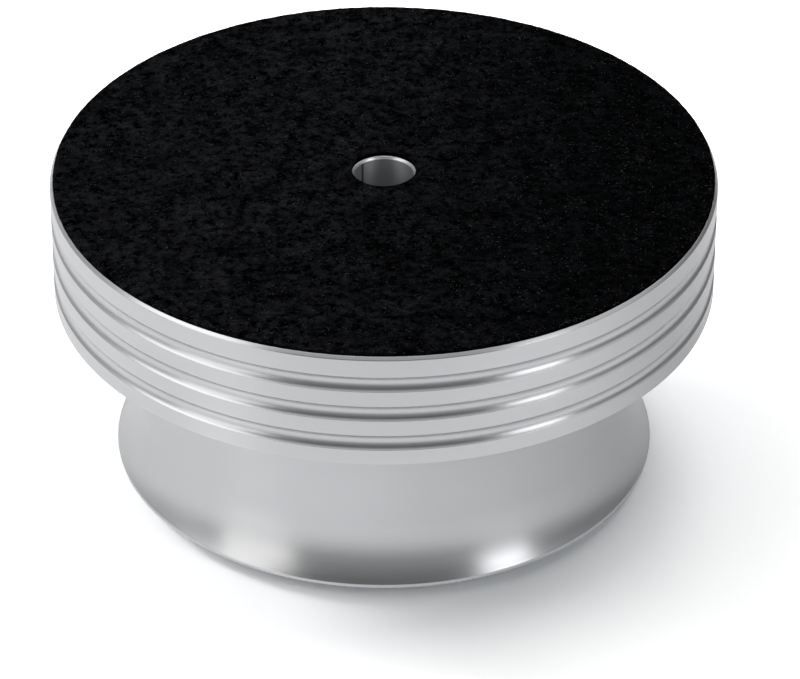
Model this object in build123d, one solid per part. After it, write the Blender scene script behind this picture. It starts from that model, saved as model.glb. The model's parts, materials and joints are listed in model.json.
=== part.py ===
from build123d import *
import math
import os

# A record weight turned from one aluminium bar, with a thin felt ring glued to its working face.
# It stands on its knob with the felt face up, as it is laid down between two records.
# The origin is the centre of the knob's end face, and +Z runs up along the spindle bore.
# All sizes are in millimetres.

# The hollow-sided knob that the fingers lift it by
KNOB_RIM_DIAMETER = 66.0
KNOB_RIM_LAND = 0.4
KNOB_BEVEL_WIDTH = 3.0
KNOB_BEVEL_HEIGHT = 1.6
WAIST_DIAMETER = 61.3
RIM_TO_WAIST = 7.3
WAIST_TO_DISC = 15.0
SHOULDER_DIAMETER = 67.4

# The heavy disc that presses on the record's label
DISC_DIAMETER = 80.0
DISC_THICKNESS = 14.65
DISC_FACE_CHAMFER = 0.35
DISC_EDGE_BREAK = 0.15

# The round-bottomed grooves in the disc's wall
GROOVE_COUNT = 3
GROOVE_WIDTH = 2.0
GROOVE_DEPTH = 0.5
GROOVE_PITCH = 4.0
LAND_UNDER_GROOVES = 2.0

# The blind bore that drops over the turntable's spindle
BORE_DIAMETER = 7.3
BORE_DEPTH = 22.0
BORE_MOUTH_WIDTH = 0.15
BORE_MOUTH_DEPTH = 0.3
DRILL_POINT_ANGLE = 118.0

# The felt ring
FELT_THICKNESS = 0.45
FELT_EDGE_SETBACK = 0.03

# Heights up the axis
knob_rim_z = KNOB_BEVEL_HEIGHT
flare_start_z = knob_rim_z + KNOB_RIM_LAND
waist_z = flare_start_z + RIM_TO_WAIST
disc_under_z = waist_z + WAIST_TO_DISC
disc_face_z = disc_under_z + DISC_THICKNESS

# Radii
knob_rim_radius = KNOB_RIM_DIAMETER / 2
waist_radius = WAIST_DIAMETER / 2
shoulder_radius = SHOULDER_DIAMETER / 2
disc_radius = DISC_DIAMETER / 2
disc_face_radius = disc_radius - DISC_FACE_CHAMFER
bore_radius = BORE_DIAMETER / 2
bore_mouth_radius = bore_radius + BORE_MOUTH_WIDTH


def end_lean(depth, height):
    """How far a round hollow of this depth has turned away from its axis at its end, in radians."""
    return 2 * math.atan2(depth, height)


def turned_blank():
    """The bar turned to its outline: bevelled knob, hollow waist and disc, with no grooves or bore."""
    waist = (waist_radius, waist_z)
    rim_edge = (knob_rim_radius, flare_start_z)
    shoulder_edge = (shoulder_radius, disc_under_z)
    rim_lean = end_lean(knob_rim_radius - waist_radius, RIM_TO_WAIST)
    shoulder_lean = end_lean(shoulder_radius - waist_radius, WAIST_TO_DISC)
    off_rim = (-math.sin(rim_lean), math.cos(rim_lean))
    onto_shoulder = (math.sin(shoulder_lean), math.cos(shoulder_lean))
    straight_up = (0, 1)
    with BuildPart() as blank:
        with BuildSketch(Plane.XZ):
            with BuildLine():
                Polyline(
                    (0, disc_face_z),
                    (0, 0),
                    (knob_rim_radius - KNOB_BEVEL_WIDTH, 0),
                    (knob_rim_radius, knob_rim_z),
                    rim_edge,
                )
                Spline(rim_edge, waist, tangents=(off_rim, straight_up))
                Spline(waist, shoulder_edge, tangents=(straight_up, onto_shoulder))
                Polyline(
                    shoulder_edge,
                    (disc_radius - DISC_EDGE_BREAK, disc_under_z),
                    (disc_radius, disc_under_z + DISC_EDGE_BREAK),
                    (disc_radius, disc_face_z - DISC_FACE_CHAMFER),
                    (disc_face_radius, disc_face_z),
                    (0, disc_face_z),
                )
            make_face()
        revolve(axis=Axis.Z)
    return blank.part


def wall_grooves():
    """The rings of metal that come out of the disc's wall, each a round hollow from lip to lip."""
    lip_lean = end_lean(GROOVE_DEPTH, GROOVE_WIDTH / 2)
    into_wall = (-math.sin(lip_lean), math.cos(lip_lean))
    out_of_wall = (math.sin(lip_lean), math.cos(lip_lean))
    clear_radius = disc_radius + GROOVE_DEPTH
    with BuildPart() as rings:
        for groove in range(GROOVE_COUNT):
            low_z = disc_under_z + LAND_UNDER_GROOVES + groove * GROOVE_PITCH
            high_z = low_z + GROOVE_WIDTH
            low_lip = (disc_radius, low_z)
            bottom = (disc_radius - GROOVE_DEPTH, (low_z + high_z) / 2)
            high_lip = (disc_radius, high_z)
            with BuildSketch(Plane.XZ):
                with BuildLine():
                    Spline(low_lip, bottom, high_lip, tangents=(into_wall, out_of_wall))
                    Polyline(high_lip, (clear_radius, high_z), (clear_radius, low_z), low_lip)
                make_face()
            revolve(axis=Axis.Z)
    return rings.part


def spindle_bore():
    """The blind hole for the spindle: a bevelled mouth, a straight wall and the drill's cone at the end."""
    bore_end_z = disc_face_z - BORE_DEPTH
    cone_depth = bore_radius / math.tan(math.radians(DRILL_POINT_ANGLE / 2))
    with BuildPart() as hole:
        with BuildSketch(Plane.XZ):
            with BuildLine():
                Polyline(
                    (0, disc_face_z),
                    (bore_mouth_radius, disc_face_z),
                    (bore_radius, disc_face_z - BORE_MOUTH_DEPTH),
                    (bore_radius, bore_end_z),
                    (0, bore_end_z - cone_depth),
                    close=True,
                )
            make_face()
        revolve(axis=Axis.Z)
    return hole.part


def turned_body():
    """The whole metal weight, one turned piece."""
    return turned_blank() - wall_grooves() - spindle_bore()


def felt_pad():
    """The felt ring on the disc's face, set back a little from the edge and from the bore's mouth."""
    with BuildPart() as pad:
        with BuildSketch(Plane.XY.offset(disc_face_z)):
            Circle(disc_face_radius - FELT_EDGE_SETBACK)
            Circle(bore_mouth_radius + FELT_EDGE_SETBACK, mode=Mode.SUBTRACT)
        extrude(amount=FELT_THICKNESS)
    return pad.part


os.makedirs("parts", exist_ok=True)
export_step(turned_body(), "parts/turned_body.step")
export_step(felt_pad(), "parts/felt_pad.step")
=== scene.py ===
"""A turned aluminium record weight with a black felt face, standing on its knob in a plain studio.

Lengths are in metres and angles in radians. The weight's axis is Z, and the table is at Z = 0.
"""

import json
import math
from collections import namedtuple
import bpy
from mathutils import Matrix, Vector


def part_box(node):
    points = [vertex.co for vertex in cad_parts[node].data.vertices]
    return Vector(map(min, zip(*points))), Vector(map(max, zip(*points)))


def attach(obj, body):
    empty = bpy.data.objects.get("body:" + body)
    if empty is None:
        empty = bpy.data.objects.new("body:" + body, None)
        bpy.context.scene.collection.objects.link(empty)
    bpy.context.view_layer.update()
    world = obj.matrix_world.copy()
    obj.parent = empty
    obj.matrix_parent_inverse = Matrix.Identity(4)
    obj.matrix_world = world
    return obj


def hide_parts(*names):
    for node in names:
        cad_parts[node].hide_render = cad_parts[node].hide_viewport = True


bl_info = {
    "name": "Record Weight",
    "version": (1, 0, 0),
    "blender": (4, 5, 0),
    "location": "View3D > Sidebar > Record Weight",
    "description": "Turns a record weight, lays its felt ring and sets a plain studio round it",
    "category": "Add Mesh",
}

import bpy
import numpy as np
from mathutils import Matrix, Quaternion, Vector

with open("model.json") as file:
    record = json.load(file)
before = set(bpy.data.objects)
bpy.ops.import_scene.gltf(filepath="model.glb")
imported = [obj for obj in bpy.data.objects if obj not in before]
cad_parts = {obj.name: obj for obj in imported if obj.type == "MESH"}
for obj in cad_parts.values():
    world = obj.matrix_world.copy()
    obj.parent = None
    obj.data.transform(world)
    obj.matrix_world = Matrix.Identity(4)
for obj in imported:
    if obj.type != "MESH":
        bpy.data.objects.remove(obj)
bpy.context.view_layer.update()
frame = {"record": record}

MM = 0.001
BODY_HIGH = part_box("turned_body")[1]
FELT_LOW, FELT_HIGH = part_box("felt_pad")
BORE = next(mount for mount in frame["record"]["mounts"] if mount["name"] == "spindle_bore")

TURNS = 384
FELT_TURNS = 900
FELT_RINGS = 96
TURNING_UV = "turning"
METAL_SLOT, BORE_SLOT, MOUTH_SLOT = range(3)


def length(name, description, default):
    """A length that a user may change, in metres."""
    return bpy.props.FloatProperty(name=name, description=description, default=default,
                                   min=0.0, precision=5, unit="LENGTH")


def angle(name, description, default):
    """An angle that a user may change, in radians."""
    return bpy.props.FloatProperty(name=name, description=description, default=default,
                                   precision=3, subtype="ANGLE")


def count(name, description, default):
    """A number of things that a user may change."""
    return bpy.props.IntProperty(name=name, description=description, default=default, min=0)


def share(name, description, default):
    """A number from 0 to 1 that a user may change."""
    return bpy.props.FloatProperty(name=name, description=description, default=default,
                                   min=0.0, max=1.0, subtype="FACTOR")


def colour(name, description, default):
    """A linear colour that a user may change."""
    return bpy.props.FloatVectorProperty(name=name, description=description, default=default,
                                         size=3, min=0.0, max=1.0, subtype="COLOR")


def power(name, description, default):
    """A lamp's power in watts."""
    return bpy.props.FloatProperty(name=name, description=description, default=default,
                                   min=0.0, unit="POWER")


class TurningSizes(bpy.types.PropertyGroup):
    """Sizes of the metal weight."""

    disc_radius: length("Disc radius", "Radius of the heavy disc", BODY_HIGH[0])
    height: length("Height", "From the table to the disc's metal face", BODY_HIGH[2])
    disc_thickness: length("Disc thickness", "From the disc's underside to its face", 14.65 * MM)
    face_chamfer: length("Face chamfer", "Chamfer round the disc's face", 0.35 * MM)
    groove_count: count("Grooves", "Grooves in the disc's wall", 3)
    groove_width: length("Groove width", "Width of one groove at the wall", 2.0 * MM)
    groove_depth: length("Groove depth", "Depth of one groove", 0.50 * MM)
    groove_pitch: length("Groove pitch", "From one groove to the next", 4.0 * MM)
    land_under: length("Lowest land", "Plain wall under the lowest groove", 2.0 * MM)
    rim_radius: length("Rim radius", "Radius of the knob's rim", 33.0 * MM)
    rim_land: length("Rim land", "Narrow upright band on the knob's rim", 0.40 * MM)
    bevel_height: length("Bevel height", "Height of the bevel round the knob's end face", 1.6 * MM)
    bevel_width: length("Bevel width", "Width of the bevel round the knob's end face", 3.0 * MM)
    waist_radius: length("Waist radius", "Radius of the knob at its waist", 30.65 * MM)
    rim_to_waist: length("Rim to waist", "From the knob's rim up to the waist", 7.3 * MM)
    shoulder_radius: length("Shoulder radius", "Radius where the hollow meets the disc", 33.7 * MM)
    bore_radius: length("Bore radius", "Radius of the spindle bore", BORE["dims"]["r_mm"] * MM)
    bore_depth: length("Bore depth", "Depth of the bore's straight wall", 22.0 * MM)
    mouth_width: length("Mouth width", "Width of the bevel at the bore's mouth", 0.15 * MM)
    mouth_depth: length("Mouth depth", "Depth of the bevel at the bore's mouth", 0.30 * MM)
    drill_point: angle("Drill point", "Angle of the cone at the bore's end", math.radians(118.0))
    edge_break: length("Edge break", "How far a turned edge is rounded off", 0.08 * MM)
    lip_break: length("Lip break", "How far a groove's lip is rounded off", 0.035 * MM)
    mouth_round: length("Mouth round", "How far the bore's upper edge is rounded off", 0.14 * MM)


class FeltSizes(bpy.types.PropertyGroup):
    """Sizes of the felt ring."""

    outer_radius: length("Outer radius", "Outer radius of the ring", FELT_HIGH[0])
    hole_radius: length("Hole radius", "Radius of the hole for the spindle", 3.83 * MM)
    hole_offset: length("Hole offset", "How far back of the middle the hole was punched", 0.18 * MM)
    bottom: length("Bottom", "Height of the glued side", FELT_LOW[2])
    top: length("Top", "Height of the napped side", FELT_HIGH[2])
    edge_round: length("Edge round", "Rounding of the cut edges", 0.12 * MM)
    nap: length("Nap", "Height of the nap's lumps", 0.05 * MM)
    fibre_count: count("Fibres", "Loose fibres on the nap", 6000)
    fibre_radius: length("Fibre radius", "Half the thickness of one loose fibre", 0.018 * MM)
    fringe_share: share("Fringe", "Share of the loose fibres that stand at the cut edge", 0.12)


class Finishes(bpy.types.PropertyGroup):
    """Colours and gloss."""

    metal: colour("Metal", "Colour of the turned aluminium", (0.545, 0.550, 0.566))
    metal_roughness: share("Metal roughness", "Roughness of the turned aluminium", 0.30)
    # Painted shade: the bore's colour is darker than the outer metal's, so the inside of the bore comes
    # out dimmer.
    bore: colour("Bore", "Colour of the reamed bore", (0.47, 0.48, 0.49))
    # The mouth's pale colour is partly its cut edge's own and partly a painted highlight.
    mouth: colour("Mouth", "Colour of the bright cut at the bore's mouth", (0.92, 0.92, 0.93))
    felt: colour("Felt", "Colour of the felt", (0.0044, 0.0046, 0.0054))
    fibre: colour("Fibre", "Colour of the loose fibres", (0.075, 0.075, 0.078))
    floor: colour("Floor", "Colour of the floor", (0.95, 0.95, 0.95))


class Studio(bpy.types.PropertyGroup):
    """Lamps and surroundings."""

    left_strip: power("Left strip", "Power of the strip lamp behind the weight on the left", 17.0)
    back_lamp: power("Back lamp", "Power of the small round lamp beside the strip", 9.2)
    overhead: power("Overhead", "Power of the lamp over the weight on the right", 5.3)
    left_box: power("Left softbox", "Power of the softbox on the left", 4.5)
    left_card: power("Left card", "Power of the lit card under the left softbox", 1.13)
    right_box: power("Right softbox", "Power of the softbox on the right", 2.03)
    ambient: share("Ambient", "Light from all round", 0.02)


def straight(start, end, steps=1):
    """Straight run: points start + t (end - start), with the normal on the right of the run."""
    start = np.array(start)
    run = np.array(end) - start
    reach = math.hypot(run[0], run[1])
    normal = np.array([run[1], -run[0]]) / reach

    def at(t):
        points = start + np.outer(t, run)
        return np.column_stack([points, np.tile(normal, (len(points), 1))])

    return at, reach, steps


def hollow(centre, radius, first, last, steps):
    """Hollow arc: points centre + radius (cos a, sin a), with the normal towards the centre."""

    def at(t):
        turn = first + (last - first) * np.asarray(t)
        spoke = np.column_stack([np.cos(turn), np.sin(turn)])
        return np.column_stack([np.array(centre) + radius * spoke, -spoke])

    return at, abs(last - first) * radius, steps


def hollow_through(out, up):
    """Radius and turn of the arc that starts straight up and ends out and up from there."""
    radius = (out ** 2 + up ** 2) / (2 * out)
    return radius, math.asin(up / radius)


def bend(start, corner, end, steps=5):
    """Rounded corner: the curve (1-t)^2 start + 2t(1-t) corner + t^2 end, without its two ends."""
    t = np.linspace(0.0, 1.0, steps + 1)[1:-1, None]
    points = (1 - t) ** 2 * start + 2 * t * (1 - t) * corner + t ** 2 * end
    slope = (1 - t) * (corner - start) + t * (end - corner)
    normal = np.column_stack([slope[:, 1], -slope[:, 0]])
    normal /= np.linalg.norm(normal, axis=1)[:, None]
    return np.column_stack([points, normal])


def follow(runs, breaks):
    """Joins runs into rows (radius, height, normal out, normal up), rounding each corner by its break.

    A break of 0 marks two runs that already meet smoothly. The second result numbers each row's run.
    """
    rows = []
    tags = []
    for number, (at, reach, steps) in enumerate(runs):
        cut_before = breaks[number - 1] if number else 0.0
        cut_after = breaks[number] if number < len(breaks) else 0.0
        t = np.linspace(cut_before / reach, 1 - cut_after / reach, steps + 1)
        run_rows = at(t)
        smooth_join = cut_after == 0.0 and number < len(breaks)
        rows.append(run_rows[:-1] if smooth_join else run_rows)
        if cut_after > 0.0:
            next_at, next_reach, _ = runs[number + 1]
            next_start = next_at(np.array([cut_after / next_reach]))
            corner = at(np.array([1.0]))
            rows.append(bend(run_rows[-1, :2], corner[0, :2], next_start[0, :2]))
        added = sum(len(part) for part in rows) - len(tags)
        tags += [number] * added
    return np.vstack(rows), np.array(tags)


def weight_profile(sizes):
    """The weight's half section, from the middle of the knob's face round to the bottom of the bore.

    The knob is two hollow arcs that meet at the waist, and each groove is a hollow arc in the wall.
    The other two results are the numbers of the first row on the bore's mouth and in the bore.
    """
    rim_bottom = sizes.bevel_height
    rim_top = rim_bottom + sizes.rim_land
    under = sizes.height - sizes.disc_thickness
    waist = rim_top + sizes.rim_to_waist
    flare, flare_turn = hollow_through(sizes.rim_radius - sizes.waist_radius, sizes.rim_to_waist)
    shoulder, shoulder_turn = hollow_through(sizes.shoulder_radius - sizes.waist_radius, under - waist)
    flare_centre = (sizes.waist_radius + flare, waist)
    shoulder_centre = (sizes.waist_radius + shoulder, waist)
    small = sizes.edge_break
    lip = sizes.lip_break

    runs = [
        straight((0.0, 0.0), (sizes.rim_radius - sizes.bevel_width, 0.0), 4),
        straight((sizes.rim_radius - sizes.bevel_width, 0.0), (sizes.rim_radius, rim_bottom), 2),
        straight((sizes.rim_radius, rim_bottom), (sizes.rim_radius, rim_top)),
        hollow(flare_centre, flare, math.pi + flare_turn, math.pi, 20),
        hollow(shoulder_centre, shoulder, math.pi, math.pi - shoulder_turn, 24),
        straight((sizes.shoulder_radius, under), (sizes.disc_radius, under), 2),
    ]
    breaks = [small, small, small, 0.0, 2 * small, small]

    nose = (sizes.groove_width ** 2 / 4 + sizes.groove_depth ** 2) / (2 * sizes.groove_depth)
    nose_centre = sizes.disc_radius - sizes.groove_depth + nose
    nose_turn = math.asin(sizes.groove_width / 2 / nose)
    wall = sizes.disc_radius
    land_start = under
    for groove in range(sizes.groove_count):
        middle = under + sizes.land_under + sizes.groove_width / 2 + groove * sizes.groove_pitch
        low = middle - sizes.groove_width / 2
        high = middle + sizes.groove_width / 2
        runs.append(straight((wall, land_start), (wall, low), 2))
        runs.append(hollow((nose_centre, middle), nose, math.pi + nose_turn, math.pi - nose_turn, 16))
        breaks += [lip, lip]
        land_start = high

    face_radius = wall - sizes.face_chamfer
    chamfer_start = sizes.height - sizes.face_chamfer
    mouth_radius = sizes.bore_radius + sizes.mouth_width
    bore_top = sizes.height - sizes.mouth_depth
    bore_end = sizes.height - sizes.bore_depth
    tip = bore_end - sizes.bore_radius / math.tan(sizes.drill_point / 2)
    runs += [
        straight((wall, land_start), (wall, chamfer_start), 2),
        straight((wall, chamfer_start), (face_radius, sizes.height), 2),
        straight((face_radius, sizes.height), (mouth_radius, sizes.height), 2),
        straight((mouth_radius, sizes.height), (sizes.bore_radius, bore_top), 2),
        straight((sizes.bore_radius, bore_top), (sizes.bore_radius, bore_end), 4),
        straight((sizes.bore_radius, bore_end), (0.0, tip), 2),
    ]
    breaks += [small, small, sizes.mouth_round, lip, small]
    rows, tags = follow(runs, breaks)
    bore_run = len(runs) - 2
    return rows, int(np.argmax(tags >= bore_run - 1)), int(np.argmax(tags >= bore_run))


def lathe(name, rows, turns):
    """Turns a half section about Z into a closed mesh: (radius cos a, radius sin a, height).

    The first and last rows are on the axis and become the two poles. Normals come from the section.
    """
    section = rows[1:-1]
    ring_count = len(section)
    turn = np.arange(turns) * 2 * math.pi / turns
    across = np.column_stack([np.cos(turn), np.sin(turn)])

    def spread(out, up):
        flat = out[:, None, None] * across[None]
        rise = np.broadcast_to(up[:, None, None], (len(out), turns, 1))
        return np.concatenate([flat, rise], axis=2).reshape(-1, 3)

    grid = spread(section[:, 0], section[:, 1])
    grid_normals = spread(section[:, 2], section[:, 3])
    poles = np.array([[0.0, 0.0, rows[0, 1]], [0.0, 0.0, rows[-1, 1]]])
    pole_normals = np.array([[0.0, 0.0, -1.0], [0.0, 0.0, 1.0]])

    ring = np.arange(ring_count - 1)[:, None] * turns
    here = np.arange(turns)[None]
    after = (here + 1) % turns
    above = ring + turns
    quads = np.stack([ring + here, ring + after, above + after, above + here], axis=2).reshape(-1, 4)
    first_pole = ring_count * turns
    last_ring = (ring_count - 1) * turns
    low_fan = np.column_stack([np.full(turns, first_pole), after[0], here[0]])
    last_pole = first_pole + 1
    high_fan = np.column_stack([np.full(turns, last_pole), last_ring + here[0], last_ring + after[0]])

    travel = np.concatenate([[0.0], np.cumsum(np.linalg.norm(np.diff(rows[:, :2], axis=0), axis=1))])
    left = np.arange(turns) / turns
    right = left + 1 / turns
    low = np.repeat(travel[1:-2], turns)
    high = np.repeat(travel[2:-1], turns)
    lefts = np.tile(left, ring_count - 1)
    rights = np.tile(right, ring_count - 1)
    quad_uv = np.stack([lefts, low, rights, low, rights, high, lefts, high], axis=1).reshape(-1, 2)
    middle = (left + right) / 2
    start = np.full(turns, travel[0])
    inner = np.full(turns, travel[1])
    outer = np.full(turns, travel[-2])
    end = np.full(turns, travel[-1])
    low_uv = np.stack([middle, start, right, inner, left, inner], axis=1).reshape(-1, 2)
    high_uv = np.stack([middle, end, left, outer, right, outer], axis=1).reshape(-1, 2)

    mesh = bpy.data.meshes.new(name)
    vertices = np.vstack([grid, poles])
    mesh.from_pydata(vertices.tolist(), [], quads.tolist() + low_fan.tolist() + high_fan.tolist())
    mesh.shade_smooth()
    layer = mesh.uv_layers.new(name=TURNING_UV)
    layer.data.foreach_set("uv", np.vstack([quad_uv, low_uv, high_uv]).ravel())
    mesh.normals_split_custom_set_from_vertices(np.vstack([grid_normals, pole_normals]).tolist())
    return mesh


def add_piece(name, mesh, materials):
    """Puts a mesh into the scene at the origin and gives it its materials."""
    piece = bpy.data.objects.new(name, mesh)
    bpy.context.scene.collection.objects.link(piece)
    for material in materials:
        mesh.materials.append(material)
    return piece


def lattice_noise(x, y, cell, seed):
    """Smooth lumps: random heights from -1 to 1 on a square lattice, blended with 3t^2 - 2t^3."""
    across = x / cell - np.floor(x.min() / cell)
    along = y / cell - np.floor(y.min() / cell)
    column = np.floor(across).astype(int)
    line = np.floor(along).astype(int)
    heights = np.random.default_rng(seed).uniform(-1, 1, (column.max() + 2, line.max() + 2))
    s = across - column
    t = along - line
    s = s * s * (3 - 2 * s)
    t = t * t * (3 - 2 * t)
    near = heights[column, line] * (1 - s) + heights[column + 1, line] * s
    far = heights[column, line + 1] * (1 - s) + heights[column + 1, line + 1] * s
    return near * (1 - t) + far * t


def nap_height(x, y, sizes):
    """Height of the nap over the felt's mean face: three sizes of lump added together."""
    coarse = lattice_noise(x, y, 1.9 * MM, 11)
    medium = lattice_noise(x, y, 0.85 * MM, 12)
    fine = lattice_noise(x, y, 0.42 * MM, 13)
    return sizes.nap * (0.35 * coarse + 0.40 * medium + 0.45 * fine)


def felt_surface(sizes):
    """The felt ring: a closed section with rounded edges carried round Z, its top lifted by the nap.

    The cut edges wander a little, because felt is soft when it is punched.
    """
    thick = sizes.top - sizes.bottom
    soft = min(sizes.edge_round, thick)
    quarter = np.linspace(0.0, math.pi / 2, 5)
    across = np.linspace(sizes.hole_radius + soft, sizes.outer_radius - soft, FELT_RINGS)
    inner_r = sizes.hole_radius + soft - soft * np.cos(quarter)
    outer_r = sizes.outer_radius - soft + soft * np.sin(quarter)
    radius = np.concatenate([[sizes.hole_radius], inner_r, across[1:-1], outer_r, [sizes.outer_radius]])
    height = np.concatenate([
        [sizes.bottom],
        sizes.top - soft + soft * np.sin(quarter),
        np.full(len(across) - 2, sizes.top),
        sizes.top - soft + soft * np.cos(quarter),
        [sizes.bottom],
    ])
    lift = np.clip((height - sizes.bottom) / thick, 0.0, 1.0) ** 2
    turn = np.arange(FELT_TURNS) * 2 * math.pi / FELT_TURNS
    x = radius[:, None] * np.cos(turn)
    y = radius[:, None] * np.sin(turn)
    z = height[:, None] + lift[:, None] * nap_height(x, y, sizes)
    edge = np.abs(radius - np.clip(radius, across[0], across[-1])) / soft
    edge_wander = 0.8
    closer_set = 1.7
    wave = nap_height(x * closer_set, y * closer_set, sizes)
    wander = 1 + (edge * edge_wander)[:, None] * wave / radius[:, None]
    hole_zone = 8 * MM
    near_hole = np.clip(1 - (radius - sizes.hole_radius) / hole_zone, 0.0, 1.0)
    back = sizes.hole_offset * near_hole[:, None]
    return np.stack([x * wander, y * wander + back, z], axis=2)


def ring_faces(rows, turns):
    """Quads over a grid that closes both round the axis and round its section."""
    row = np.arange(rows)[:, None]
    column = np.arange(turns)[None]
    next_row = (row + 1) % rows
    next_column = (column + 1) % turns
    corners = [
        row * turns + column,
        next_row * turns + column,
        next_row * turns + next_column,
        row * turns + next_column,
    ]
    return np.stack(np.broadcast_arrays(*corners), axis=2).reshape(-1, 4)


def fibre_tubes(sizes):
    """Loose fibres: three-sided tubes along bowed arcs that lie on the nap with their ends in it.

    A fibre's middle line runs on in equal strides along (cos h, sin h), where its heading h turns by
    its bow from one end to the other.
    """
    margin = 0.1 * MM
    overhang = 0.25 * MM
    sunk = 0.03 * MM
    nap_share = 0.6
    tip_share = 0.45
    sides = 3
    draw = np.random.default_rng(5)
    drawn = sizes.fibre_count
    low = sizes.hole_radius + margin
    high = sizes.outer_radius - margin
    radius = np.sqrt(draw.uniform(low ** 2, high ** 2, drawn))
    fringe = int(drawn * sizes.fringe_share)
    radius[:fringe] = sizes.outer_radius - draw.uniform(0.0, 0.2, fringe) * MM
    around = draw.uniform(0, 2 * math.pi, drawn)
    heading = draw.uniform(0, 2 * math.pi, drawn)
    bow = draw.normal(0.0, 1.3, drawn)
    reach = draw.uniform(0.15, 0.65, drawn) * MM
    rise = draw.uniform(0.02, 0.10, drawn) * MM
    girth = sizes.fibre_radius * draw.uniform(0.7, 1.3, drawn)
    steps = np.linspace(0.0, 1.0, 6)
    way = heading[:, None] + bow[:, None] * steps
    stride = reach[:, None] / (len(steps) - 1)
    x = (radius * np.cos(around))[:, None] + np.cumsum(stride * np.cos(way), axis=1)
    y = (radius * np.sin(around))[:, None] + np.cumsum(stride * np.sin(way), axis=1)
    inside = np.hypot(x, y).max(axis=1) < sizes.outer_radius + overhang
    keep = inside & (np.hypot(x, y - sizes.hole_offset).min(axis=1) > sizes.hole_radius)
    x, y, way, rise, girth = x[keep], y[keep], way[keep], rise[keep], girth[keep]
    hump = np.sin(math.pi * steps)
    z = sizes.top - sunk + nap_height(x, y, sizes) * nap_share + rise[:, None] * hump
    taper = girth[:, None] * (tip_share + (1 - tip_share) * hump)
    corner = np.arange(sides) * 2 * math.pi / sides
    side = np.stack([-np.sin(way), np.cos(way)], axis=2)
    off_side = taper[:, :, None] * np.cos(corner)
    off_up = taper[:, :, None] * np.sin(corner)
    points = np.stack([
        x[:, :, None] + side[:, :, 0, None] * off_side,
        y[:, :, None] + side[:, :, 1, None] * off_side,
        z[:, :, None] + off_up,
    ], axis=3)
    kept = len(x)
    per_fibre = len(steps) * sides
    ring = (np.arange(len(steps) - 1) * sides)[:, None]
    here = np.arange(sides)[None]
    after = (here + 1) % sides
    further = ring + sides
    wall = np.stack([ring + here, further + here, further + after, ring + after], axis=2).reshape(-1, 4)
    base = (np.arange(kept) * per_fibre)[:, None, None]
    walls = (base + wall[None]).reshape(-1, 4)
    first_end = np.arange(sides)
    ends = np.array([first_end, per_fibre - 1 - first_end])
    caps = (base + ends[None]).reshape(-1, sides)
    return points.reshape(-1, 3), walls, caps


def add_node(tree, kind, **settings):
    """Adds a shader node and sets its plain settings."""
    made = tree.nodes.new(kind)
    for key, value in settings.items():
        setattr(made, key, value)
    return made


def math_node(tree, operation, first, second=None):
    """Adds a Math node; a number goes on its socket and a socket is linked to it. Returns the output."""
    made = add_node(tree, "ShaderNodeMath", operation=operation)
    for slot, value in enumerate((first, second)):
        if value is None:
            continue
        if isinstance(value, (int, float)):
            made.inputs[slot].default_value = value
        else:
            tree.links.new(value, made.inputs[slot])
    return made.outputs[0]


def times(tree, first, second):
    """The product of two values, each a socket or a number."""
    return math_node(tree, "MULTIPLY", first, second)


def plus(tree, first, *others):
    """The sum of two or more values, each a socket or a number."""
    total = first
    for value in others:
        total = math_node(tree, "ADD", total, value)
    return total


def ranged(tree, value, low, high, to_low, to_high):
    """Maps a value from low..high to to_low..to_high and stops at both ends."""
    made = add_node(tree, "ShaderNodeMapRange")
    tree.links.new(value, made.inputs["Value"])
    made.inputs["From Min"].default_value = low
    made.inputs["From Max"].default_value = high
    made.inputs["To Min"].default_value = to_low
    made.inputs["To Max"].default_value = to_high
    return made.outputs["Result"]


def mixed(tree, factor, first, second):
    """Mixes two colours by a factor socket and returns the colour."""
    made = add_node(tree, "ShaderNodeMix", data_type="RGBA")
    tree.links.new(factor, made.inputs["Factor"])
    colours = [socket for socket in made.inputs if socket.type == "RGBA"]
    for socket, value in zip(colours, (first, second)):
        if isinstance(value, tuple):
            socket.default_value = value
        else:
            tree.links.new(value, socket)
    return next(socket for socket in made.outputs if socket.type == "RGBA")


def noise(tree, vector, scale, detail=2.0, roughness=0.5):
    """Adds a Noise Texture read at a vector and returns its value."""
    made = add_node(tree, "ShaderNodeTexNoise")
    tree.links.new(vector, made.inputs["Vector"])
    made.inputs["Scale"].default_value = scale
    made.inputs["Detail"].default_value = detail
    made.inputs["Roughness"].default_value = roughness
    return made.outputs["Fac"]


def opaque(rgb, factor=1.0):
    """A colour with full alpha, scaled by a factor."""
    return (rgb[0] * factor, rgb[1] * factor, rgb[2] * factor, 1.0)


def colour_ramp(tree, value, stops):
    """A Color Ramp over a value, from stops of (place, grey) or (place, colour)."""
    ramp = add_node(tree, "ShaderNodeValToRGB")
    elements = ramp.color_ramp.elements
    while len(elements) < len(stops):
        elements.new(0.5)
    for element, (spot, shade) in zip(elements, stops):
        element.position = spot
        element.color = opaque(shade if isinstance(shade, tuple) else (shade, shade, shade))
    tree.links.new(value, ramp.inputs["Fac"])
    return ramp.outputs["Color"]


def split_axes(tree, vector):
    """The X, Y and Z sockets of a vector socket."""
    split = add_node(tree, "ShaderNodeSeparateXYZ")
    tree.links.new(vector, split.inputs[0])
    return split.outputs


def level_distance(tree, x, y):
    """The distance sqrt(x^2 + y^2) of two coordinate sockets."""
    return math_node(tree, "SQRT", plus(tree, times(tree, x, x), times(tree, y, y)))


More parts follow.
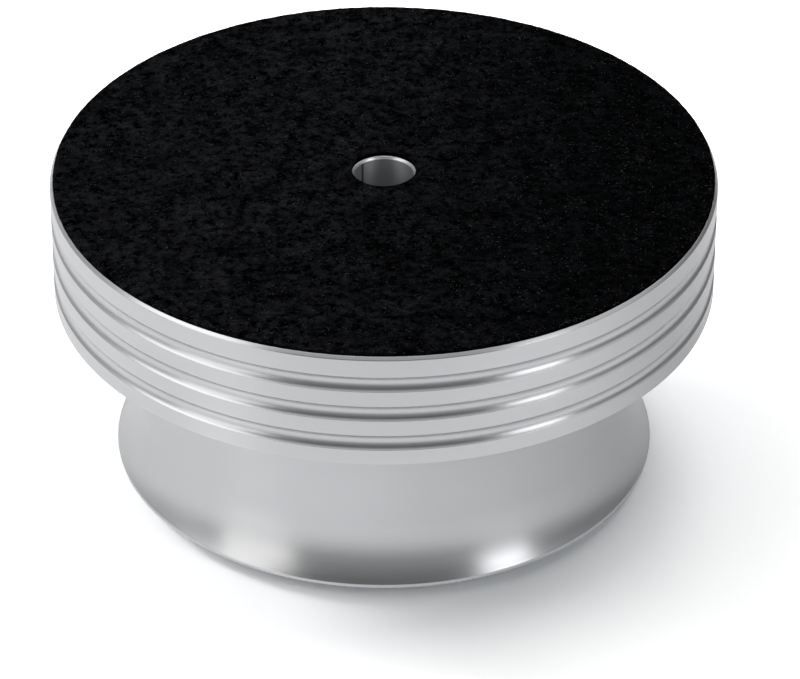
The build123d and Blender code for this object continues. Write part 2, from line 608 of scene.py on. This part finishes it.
def turning_marks_group():
    """The fine rings that a lathe tool leaves, and the faint patches of handled metal.

    Rings are noise read at (distance from the axis, height, a little of the place round the axis).
    """
    name = "turning marks"
    if name in bpy.data.node_groups:
        return bpy.data.node_groups[name]
    tree = bpy.data.node_groups.new(name, "ShaderNodeTree")
    tree.interface.new_socket("Vector", in_out="INPUT", socket_type="NodeSocketVector")
    pitch = tree.interface.new_socket("Lines per Metre", in_out="INPUT", socket_type="NodeSocketFloat")
    pitch.default_value = 6000.0
    tree.interface.new_socket("Lines", in_out="OUTPUT", socket_type="NodeSocketFloat")
    tree.interface.new_socket("Patches", in_out="OUTPUT", socket_type="NodeSocketFloat")
    entry = add_node(tree, "NodeGroupInput")
    leave = add_node(tree, "NodeGroupOutput")
    x, y, z = split_axes(tree, entry.outputs["Vector"])
    join = add_node(tree, "ShaderNodeCombineXYZ")
    tree.links.new(level_distance(tree, x, y), join.inputs[0])
    tree.links.new(z, join.inputs[1])
    tree.links.new(times(tree, x, 0.004), join.inputs[2])
    lines = add_node(tree, "ShaderNodeTexNoise")
    tree.links.new(join.outputs[0], lines.inputs["Vector"])
    tree.links.new(entry.outputs["Lines per Metre"], lines.inputs["Scale"])
    lines.inputs["Detail"].default_value = 1.0
    tree.links.new(lines.outputs["Fac"], leave.inputs["Lines"])
    tree.links.new(noise(tree, entry.outputs["Vector"], 70.0, 3.0), leave.inputs["Patches"])
    return tree


def turned_metal(name, rgb, roughness, lines_per_metre, stretch):
    """Satin turned aluminium: its gloss is drawn out across the turning rings."""
    material = bpy.data.materials.new(name)
    material.use_nodes = True
    tree = material.node_tree
    shader = tree.nodes["Principled BSDF"]
    place = add_node(tree, "ShaderNodeTexCoord")
    marks = add_node(tree, "ShaderNodeGroup", node_tree=turning_marks_group())
    tree.links.new(place.outputs["Object"], marks.inputs["Vector"])
    marks.inputs["Lines per Metre"].default_value = lines_per_metre
    tint = ranged(tree, marks.outputs["Patches"], 0.35, 0.65, 0.0, 1.0)
    tree.links.new(mixed(tree, tint, opaque(rgb, 0.985), opaque(rgb, 1.0)), shader.inputs["Base Color"])
    spread = 0.025
    gloss = ranged(tree, marks.outputs["Lines"], 0.3, 0.7, roughness - spread, roughness + spread)
    tree.links.new(gloss, shader.inputs["Roughness"])
    relief = add_node(tree, "ShaderNodeBump")
    relief.inputs["Strength"].default_value = 0.08
    relief.inputs["Distance"].default_value = 0.00001
    tree.links.new(marks.outputs["Lines"], relief.inputs["Height"])
    tree.links.new(relief.outputs["Normal"], shader.inputs["Normal"])
    tangent = add_node(tree, "ShaderNodeTangent", direction_type="UV_MAP", uv_map=TURNING_UV)
    tree.links.new(tangent.outputs["Tangent"], shader.inputs["Tangent"])
    shader.inputs["Metallic"].default_value = 1.0
    shader.inputs["Anisotropic"].default_value = stretch
    shader.inputs["Anisotropic Rotation"].default_value = 0.25
    return material


def dark_bore_line(material, around, half_width):
    """Darkens a fine upright line on a bore's wall."""
    tree = material.node_tree
    shader = tree.nodes["Principled BSDF"]
    plain = shader.inputs["Base Color"].links[0].from_socket
    x, y, _ = split_axes(tree, add_node(tree, "ShaderNodeTexCoord").outputs["Object"])
    turn = math_node(tree, "SUBTRACT", math_node(tree, "ARCTAN2", y, x), around)
    line = ranged(tree, math_node(tree, "ABSOLUTE", turn), half_width, 2 * half_width, 0.75, 0.0)
    tree.links.new(mixed(tree, line, plain, (0.0, 0.0, 0.0, 1.0)), shader.inputs["Base Color"])


def felt_cloth(name, rgb, fleck_rgb):
    """Black felt: pressed wool with soft mottling, short fibre flecks, a faint sheen, and painted shade
    that darkens it towards the right.
    """
    material = bpy.data.materials.new(name)
    material.use_nodes = True
    tree = material.node_tree
    shader = tree.nodes["Principled BSDF"]
    place = add_node(tree, "ShaderNodeTexCoord").outputs["Object"]
    grain = ranged(tree, noise(tree, place, 1000.0, 3.0, 0.75), 0.38, 0.68, 0.0, 1.0)
    patches = ranged(tree, noise(tree, place, 260.0, 3.0, 0.65), 0.30, 0.70, 0.35, 1.25)
    x, y, _ = split_axes(tree, place)
    # Painted shade: the felt's colour grows darker towards the right (+X), standing in for less light
    # falling there.
    slant = plus(tree, x, times(tree, y, -0.15))
    painted_shade_to_right = ranged(tree, slant, -0.005, 0.027, 1.14, 0.38)
    depth = times(tree, times(tree, grain, patches), painted_shade_to_right)
    ground = mixed(tree, depth, opaque(rgb, 0.05), opaque(rgb, 3.0))
    fleck = ranged(tree, noise(tree, place, 3600.0, 2.0, 0.6), 0.66, 0.76, 0.0, 1.0)
    tree.links.new(mixed(tree, fleck, ground, opaque(fleck_rgb, 0.5)), shader.inputs["Base Color"])
    relief = add_node(tree, "ShaderNodeBump")
    relief.inputs["Strength"].default_value = 0.6
    relief.inputs["Distance"].default_value = 0.0001
    tree.links.new(noise(tree, place, 3200.0, 4.0, 0.65), relief.inputs["Height"])
    tree.links.new(relief.outputs["Normal"], shader.inputs["Normal"])
    shader.inputs["Roughness"].default_value = 1.0
    shader.inputs["Specular IOR Level"].default_value = 0.0
    shader.inputs["Sheen Weight"].default_value = 0.0015
    shader.inputs["Sheen Roughness"].default_value = 0.5
    return material


def fibre_wool(name, rgb):
    """A loose felt fibre, a little paler than the felt that it stands out of."""
    material = bpy.data.materials.new(name)
    material.use_nodes = True
    tree = material.node_tree
    shader = tree.nodes["Principled BSDF"]
    place = add_node(tree, "ShaderNodeTexCoord").outputs["Object"]
    shade = ranged(tree, noise(tree, place, 700.0, 2.0), 0.35, 0.65, 0.0, 1.0)
    tree.links.new(mixed(tree, shade, opaque(rgb, 0.15), opaque(rgb, 1.0)), shader.inputs["Base Color"])
    shader.inputs["Roughness"].default_value = 0.7
    shader.inputs["Specular IOR Level"].default_value = 0.2
    return material


def seen_in_metal(tree):
    """1 for what the camera sees in metal or through glass, 0 for rays that carry light."""
    path = add_node(tree, "ShaderNodeLightPath")
    glossy = path.outputs["Is Glossy Ray"]
    clear = path.outputs["Is Transmission Ray"]
    direct = math_node(tree, "LESS_THAN", path.outputs["Diffuse Depth"], 0.5)
    return times(tree, math_node(tree, "MAXIMUM", glossy, clear), direct)


def seen_by_camera(tree):
    """1 for what the camera sees straight."""
    return add_node(tree, "ShaderNodeLightPath").outputs["Is Camera Ray"]


def mirrored_floor(tree, x, y, out, rgb):
    """The floor as metal shows it: its colour under the lamps, and a painted glow that is added to it.

    All of it is painted reflection that the camera sees only in metal. The floor's colour is painted
    darker in front of the weight, and darker still beyond a line further out, as if the lit sheet under
    the weight ended there. The painted glow is brightest in front and dimmest on the right beside the
    weight, with a painted pool of light below the left card and a painted paler stretch out on the
    right.
    """
    # Painted reflection: the floor's colour as metal sees it is cut to half in front of the weight and
    # to a quarter beyond a line further out.
    sheet_edge = (-0.17, -0.13)
    front_edge = (-0.065, 0.0)
    beyond_share = 0.25
    front_share = 0.50
    side_share = 0.80
    on_sheet = ranged(tree, y, *sheet_edge, 0.0, 1.0)
    to_side = ranged(tree, y, *front_edge, 0.0, 1.0)
    sheet_white = mixed(tree, to_side, opaque(rgb, front_share), opaque(rgb, side_share))
    white = mixed(tree, on_sheet, opaque(rgb, beyond_share), sheet_white)

    # Painted glow in front of the weight.
    close_in = (0.045, 0.062)
    front_lift = (0.88, 0.70)
    to_front = ranged(tree, to_side, 0.0, 1.0, 1.0, 0.0)
    front = times(tree, ranged(tree, out, *close_in, *front_lift), to_front)

    # Painted glow beside the weight, lighter on the left and dimmer on the right as painted shade.
    across = (-0.05, 0.05)
    backwards = (0.0, 0.05)
    side_lift = 0.28
    side_tilt = (0.155, 0.065)
    left_to_right = ranged(tree, x, *across, 1.0, -1.0)
    tilt = times(tree, left_to_right, ranged(tree, y, *backwards, *side_tilt))
    beside = times(tree, plus(tree, tilt, side_lift), to_side)

    # Painted pool of light on the floor below the left card, seen only in metal.
    spot_x = -0.0405
    spot_y = -0.045
    spot_radii = (0.005, 0.016)
    spot_lift = 0.38
    from_spot = level_distance(tree, plus(tree, x, -spot_x), plus(tree, y, -spot_y))
    painted_card_spot = ranged(tree, from_spot, *spot_radii, spot_lift, 0.0)

    # Painted paler stretch of floor out on the right, seen only in metal.
    stretch_x = (0.025, 0.055)
    stretch_y = (0.0, 0.02)
    stretch_radii = (0.060, 0.070)
    stretch_lift = 0.11
    on_right = times(tree, ranged(tree, x, *stretch_x, 0.0, 1.0), ranged(tree, y, *stretch_y, 1.0, 0.0))
    painted_right_stretch = times(tree, ranged(tree, out, *stretch_radii, 0.0, stretch_lift), on_right)

    # Beyond the line in front, the painted glow is cut to under half.
    beyond_lift = 0.45
    sheet = plus(tree, front, beside, painted_card_spot, painted_right_stretch)
    return white, times(tree, sheet, ranged(tree, on_sheet, 0.0, 1.0, beyond_lift, 1.0))


def pale_floor(name, rgb):
    """A matt pale floor that looks white where it is fully lit and keeps the shadow.

    The camera sees it a little overexposed. An added painted glow is weak beside the weight and grows
    away from it, which paints a shadow round the weight. The stops of that painted shadow run over the
    distance from the axis in decimetres.
    """
    material = bpy.data.materials.new(name)
    material.use_nodes = True
    tree = material.node_tree
    tree.nodes.clear()
    leave = add_node(tree, "ShaderNodeOutputMaterial")
    matt = add_node(tree, "ShaderNodeBsdfDiffuse")
    glow = add_node(tree, "ShaderNodeEmission")
    both = add_node(tree, "ShaderNodeAddShader")
    in_metal = seen_in_metal(tree)
    in_camera = seen_by_camera(tree)
    x, y, _ = split_axes(tree, add_node(tree, "ShaderNodeTexCoord").outputs["Object"])
    out = level_distance(tree, x, y)
    metal_white, painted_metal_glow = mirrored_floor(tree, x, y, out, rgb)

    overexposed = 1.42
    white = mixed(tree, in_camera, opaque(rgb), opaque(rgb, overexposed))
    tree.links.new(mixed(tree, in_metal, white, metal_white), matt.inputs["Color"])

    # Painted shadow: the glow that the camera sees is dim and a little blue close to the weight, and
    # brightens outwards.
    fade_stops = (
        (0.31, (0.062, 0.070, 0.079)),
        (0.335, (0.111, 0.120, 0.130)),
        (0.38, (0.141, 0.150, 0.159)),
        (0.44, (0.214, 0.220, 0.225)),
        (0.60, 0.37),
    )
    decimetres = times(tree, out, 10.0)
    fade = colour_ramp(tree, decimetres, fade_stops)
    # The added glow is painted reflection for metal and painted shadow for the camera.
    lift = mixed(tree, in_camera, times(tree, in_metal, painted_metal_glow), fade)
    tree.links.new(lift, glow.inputs["Color"])
    tree.links.new(matt.outputs[0], both.inputs[0])
    tree.links.new(glow.outputs[0], both.inputs[1])
    tree.links.new(both.outputs[0], leave.inputs["Surface"])
    return material


def studio_world(ambient):
    """White surroundings for the camera, and the studio room that the metal shows.

    The room is a dark patch in front, behind the camera, with paler walls and ceiling round it.
    Its stops run over the sine of the elevation.
    """
    world = bpy.data.worlds.new("studio")
    world.use_nodes = True
    bpy.context.scene.world = world
    tree = world.node_tree
    tree.nodes.clear()
    leave = add_node(tree, "ShaderNodeOutputWorld")
    room = add_node(tree, "ShaderNodeBackground")
    x, y, z = split_axes(tree, add_node(tree, "ShaderNodeTexCoord").outputs["Generated"])
    front_stops = ((0.0, 0.17), (0.16, 0.22), (0.26, 0.38), (0.36, 0.26), (0.45, 0.12), (0.55, 0.03),
                   (0.63, 0.03), (0.71, 0.15), (0.78, 0.40), (0.84, 0.60), (1.0, 0.75))
    left_stops = ((0.0, 0.55), (0.26, 0.48), (0.36, 0.46), (0.45, 0.55), (0.55, 0.75), (0.63, 0.90),
                  (0.80, 1.00), (0.88, 1.50), (1.0, 1.60))
    right_stops = ((0.0, 0.10), (0.31, 0.20), (0.45, 0.38), (0.55, 0.68), (0.63, 0.95), (0.71, 1.05),
                   (0.86, 0.90), (1.0, 0.85))
    front = colour_ramp(tree, z, front_stops)
    left = colour_ramp(tree, z, left_stops)
    right = colour_ramp(tree, z, right_stops)
    to_right = ranged(tree, x, -0.5, 0.5, 0.0, 1.0)
    off_front = ranged(tree, y, -0.50, -0.10, 0.0, 1.0)
    walls = mixed(tree, off_front, front, mixed(tree, to_right, left, right))
    plain_white = (1.0, 1.0, 1.0)
    lit = mixed(tree, seen_in_metal(tree), opaque(plain_white, ambient), walls)
    tree.links.new(mixed(tree, seen_by_camera(tree), lit, opaque(plain_white)), room.inputs["Color"])
    tree.links.new(room.outputs[0], leave.inputs["Surface"])
    return world


LAMP_FACTS = "name watts width height azimuth elevation distance facing lean shape in_metal tint"
Lamp = namedtuple("Lamp", LAMP_FACTS, defaults=((1.0, 1.0, 1.0),))


def studio_lamp(lamp, target):
    """A flat lamp at an azimuth right of the camera, turned to the target and leaning about its face.

    The facing angle is how far its face looks down: 0 is upright, and its elevation faces the target.
    """
    data = bpy.data.lights.new(lamp.name, "AREA")
    data.shape = lamp.shape
    data.size = lamp.width
    data.size_y = lamp.height
    data.energy = lamp.watts
    data.color = lamp.tint
    made = bpy.data.objects.new(lamp.name, data)
    bpy.context.scene.collection.objects.link(made)

    def outward(elevation):
        level = math.cos(elevation)
        right = math.sin(lamp.azimuth) * level
        back = -math.cos(lamp.azimuth) * level
        return Vector((right, back, math.sin(elevation)))

    made.location = Vector(target) + lamp.distance * outward(lamp.elevation)
    upright = outward(lamp.facing).to_track_quat("Z", "Y")
    made.rotation_euler = (upright @ Quaternion((0.0, 0.0, 1.0), lamp.lean)).to_euler()
    made.visible_camera = False
    made.visible_glossy = lamp.in_metal
    return made


def photo_camera(felt_top):
    """The camera at the photograph's viewing angle, aimed a little under the middle of the felt."""
    elevation = math.radians(31.4487)
    distance = 550.57 * MM
    pitch = math.radians(33.5671)
    roll = math.radians(0.0958)
    yaw = math.radians(0.2391)
    data = bpy.data.cameras.new("camera")
    data.sensor_fit = "HORIZONTAL"
    data.sensor_width = 36.0
    data.lens = 206.7435
    data.clip_start = 0.01
    camera = bpy.data.objects.new("camera", data)
    bpy.context.scene.collection.objects.link(camera)
    place = Vector((0.0, -distance * math.cos(elevation), distance * math.sin(elevation) + felt_top))
    look = Vector((math.sin(yaw) * math.cos(pitch), math.cos(yaw) * math.cos(pitch), -math.sin(pitch)))
    level = Vector((math.cos(yaw), -math.sin(yaw), 0.0))
    upright = level.cross(look)
    right = math.cos(roll) * level + math.sin(roll) * upright
    up = -math.sin(roll) * level + math.cos(roll) * upright
    turn = Matrix((right, up, -look)).transposed()
    camera.matrix_world = Matrix.Translation(place) @ turn.to_4x4()
    bpy.context.scene.camera = camera
    return camera


class RECORDWEIGHT_OT_turn_body(bpy.types.Operator):
    """Turn the aluminium weight from its section"""

    bl_idname = "record_weight.turn_body"
    bl_label = "Turn the Weight"

    def execute(self, context):
        sizes = context.scene.weight_sizes
        finish = context.scene.weight_finishes
        rows, mouth_row, bore_row = weight_profile(sizes)
        mesh = lathe("turned_weight", rows, TURNS)
        metal = turned_metal("turned aluminium", finish.metal, finish.metal_roughness,
                             lines_per_metre=6000.0, stretch=0.65)
        # The bore's darker colour is painted shade inside the bore; its roughness and stretch are the
        # reamed finish.
        bore = turned_metal("reamed bore", finish.bore, 0.5, lines_per_metre=9000.0, stretch=0.75)
        dark_bore_line(bore, around=math.radians(135.0), half_width=0.03)
        # The mouth's pale colour is partly a cut edge and partly a painted highlight that brightens its
        # reflection.
        mouth = turned_metal("bright mouth", finish.mouth, 0.42, lines_per_metre=9000.0, stretch=0.3)
        piece = add_piece("turned_weight", mesh, [metal, bore, mouth])
        # The section's first row is the pole, so a row's ring of faces starts one ring earlier.
        mouth_start = (mouth_row - 1) * TURNS
        bore_start = (bore_row - 1) * TURNS
        # The last two fans of faces close the knob's end face and the drill cone, in that order.
        fan = TURNS
        zones = np.full(len(mesh.polygons), METAL_SLOT, dtype=np.int32)
        zones[mouth_start:bore_start] = MOUTH_SLOT
        zones[bore_start:-2 * fan] = BORE_SLOT
        zones[-fan:] = BORE_SLOT
        mesh.polygons.foreach_set("material_index", zones)
        mesh.update()
        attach(piece, "root")
        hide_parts("turned_body")
        return {"FINISHED"}


class RECORDWEIGHT_OT_lay_felt(bpy.types.Operator):
    """Lay the felt ring and its loose fibres on the weight's face"""

    bl_idname = "record_weight.lay_felt"
    bl_label = "Lay the Felt"

    def execute(self, context):
        sizes = context.scene.weight_felt
        finish = context.scene.weight_finishes
        grid = felt_surface(sizes)
        faces = ring_faces(grid.shape[0], grid.shape[1])
        mesh = bpy.data.meshes.new("felt_ring")
        mesh.from_pydata(grid.reshape(-1, 3).tolist(), [], faces[:, ::-1].tolist())
        mesh.shade_smooth()
        felt = add_piece("felt_ring", mesh, [felt_cloth("black felt", finish.felt, finish.fibre)])
        points, walls, caps = fibre_tubes(sizes)
        strands = bpy.data.meshes.new("felt_fibres")
        strands.from_pydata(points.tolist(), [], walls.tolist() + caps.tolist())
        strands.shade_smooth()
        fibres = add_piece("felt_fibres", strands, [fibre_wool("felt fibre", finish.fibre)])
        for piece in (felt, fibres):
            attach(piece, "root")
        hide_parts("felt_pad")
        return {"FINISHED"}


class RECORDWEIGHT_OT_set_studio(bpy.types.Operator):
    """Set the floor, the lamps, the surroundings and the camera"""

    bl_idname = "record_weight.set_studio"
    bl_label = "Set the Studio"

    def execute(self, context):
        studio = context.scene.weight_studio
        finish = context.scene.weight_finishes
        reach = 4.0
        mesh = bpy.data.meshes.new("floor")
        corners = [(-reach, -reach, 0), (reach, -reach, 0), (reach, reach, 0), (-reach, reach, 0)]
        mesh.from_pydata(corners, [], [(0, 1, 2, 3)])
        add_piece("floor", mesh, [pale_floor("pale floor", finish.floor)])
        deg = math.radians
        warm_white = (1.0, 0.995, 0.94)
        lamps = (
            Lamp("left strip", studio.left_strip, 2.50, 0.37, deg(-134), deg(22), 1.5, deg(22), 0.0,
                 "RECTANGLE", False),
            Lamp("back lamp", studio.back_lamp, 0.47, 0.47, deg(-120), deg(30), 1.5, deg(30), 0.0,
                 "ELLIPSE", False),
            Lamp("overhead", studio.overhead, 0.83, 0.83, deg(135), deg(65), 1.2, deg(65), 0.0,
                 "ELLIPSE", False),
            Lamp("left softbox", studio.left_box, 0.85, 1.29, deg(-75), deg(47.5), 1.48, 0.0,
                 deg(12), "RECTANGLE", True),
            Lamp("left card", studio.left_card, 0.55, 0.49, deg(-52.2), deg(13.7), 1.03, 0.0, 0.0,
                 "RECTANGLE", True, warm_white),
            Lamp("right softbox", studio.right_box, 0.35, 0.74, deg(52), deg(27.9), 1.13, 0.0,
                 deg(-12), "RECTANGLE", True),
        )
        disc_middle = (0.0, 0.0, 0.03)
        for lamp in lamps:
            studio_lamp(lamp, disc_middle)
        studio_world(studio.ambient)
        photo_camera(context.scene.weight_felt.top)
        context.scene.view_settings.view_transform = "Standard"
        return {"FINISHED"}


class RECORDWEIGHT_PT_sidebar(bpy.types.Panel):
    """Lists the weight's sizes, finishes and steps"""

    bl_idname = "RECORDWEIGHT_PT_sidebar"
    bl_label = "Record Weight"
    bl_space_type = "VIEW_3D"
    bl_region_type = "UI"
    bl_category = "Record Weight"

    def draw(self, context):
        for group in (context.scene.weight_sizes, context.scene.weight_felt,
                      context.scene.weight_finishes, context.scene.weight_studio):
            box = self.layout.box()
            for name in group.bl_rna.properties.keys():
                if name not in {"rna_type", "name"}:
                    box.prop(group, name)
        for step in STEPS:
            self.layout.operator(step.bl_idname)


STEPS = (RECORDWEIGHT_OT_turn_body, RECORDWEIGHT_OT_lay_felt, RECORDWEIGHT_OT_set_studio)
GROUPS = {
    "weight_sizes": TurningSizes,
    "weight_felt": FeltSizes,
    "weight_finishes": Finishes,
    "weight_studio": Studio,
}
CLASSES = tuple(GROUPS.values()) + STEPS + (RECORDWEIGHT_PT_sidebar,)


def register():
    """Adds the classes and hangs the property groups on the scene."""
    for item in CLASSES:
        bpy.utils.register_class(item)
    for name, group in GROUPS.items():
        setattr(bpy.types.Scene, name, bpy.props.PointerProperty(type=group))


def unregister():
    """Takes the property groups and the classes away again."""
    for name in GROUPS:
        delattr(bpy.types.Scene, name)
    for item in reversed(CLASSES):
        bpy.utils.unregister_class(item)


def main():
    """Builds the weight and the studio in order."""
    register()
    bpy.ops.record_weight.turn_body()
    bpy.ops.record_weight.lay_felt()
    bpy.ops.record_weight.set_studio()


if __name__ == "__main__":
    main()
